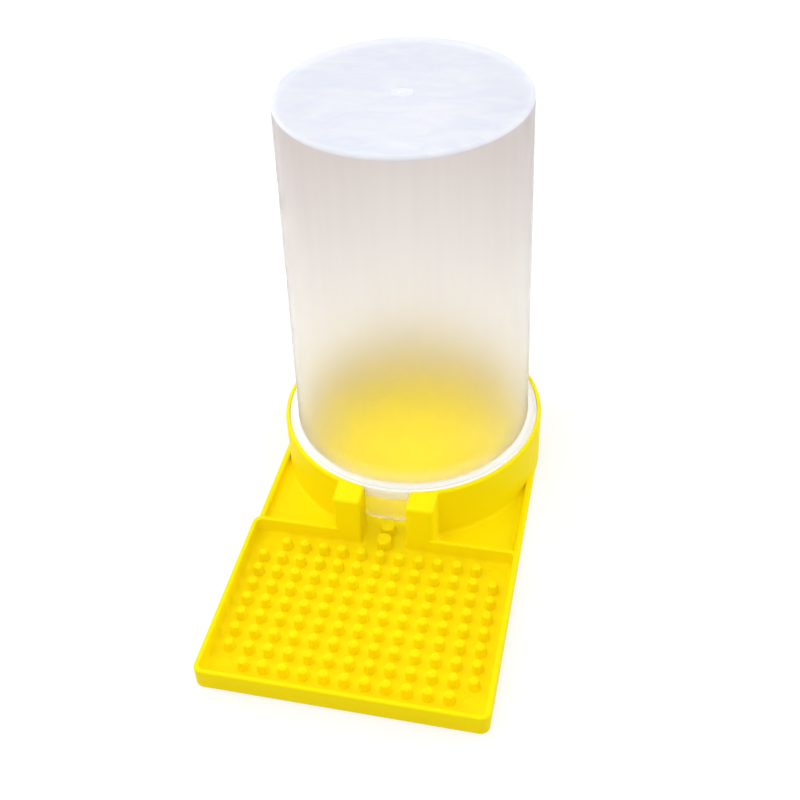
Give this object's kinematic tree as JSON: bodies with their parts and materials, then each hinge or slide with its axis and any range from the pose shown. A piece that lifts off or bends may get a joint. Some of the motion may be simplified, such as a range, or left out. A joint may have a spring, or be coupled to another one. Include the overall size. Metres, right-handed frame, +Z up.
{
  "type": "entrance feeder",
  "caption": "Hive entrance feeder: a moulded base with a studded drinking tray, a channel and a seat ring, and an upside-down translucent cup that lifts out of the ring.",
  "frame": {"origin": "where the cup's axis meets the plane that the base stands on", "axes": "+Z up along the cup's axis, -Y to the front where the tray goes into the hive entrance, +X to the right seen from the front"},
  "size_m": [0.1, 0.177, 0.1558],
  "materials": {
    "yellow_polypropylene": "satin gloss, as moulded",
    "natural_polypropylene": "milky translucent, smooth"
  },
  "bodies": {
    "base": {"feeder_base": "yellow_polypropylene"},
    "cup": {"syrup_cup": "natural_polypropylene"}
  },
  "joints": [
    {"name": "cup_lift", "type": "slide", "parent": "base", "child": "cup", "axis": [0, 0, 1], "range_m": [0, 0.03]}
  ]
}
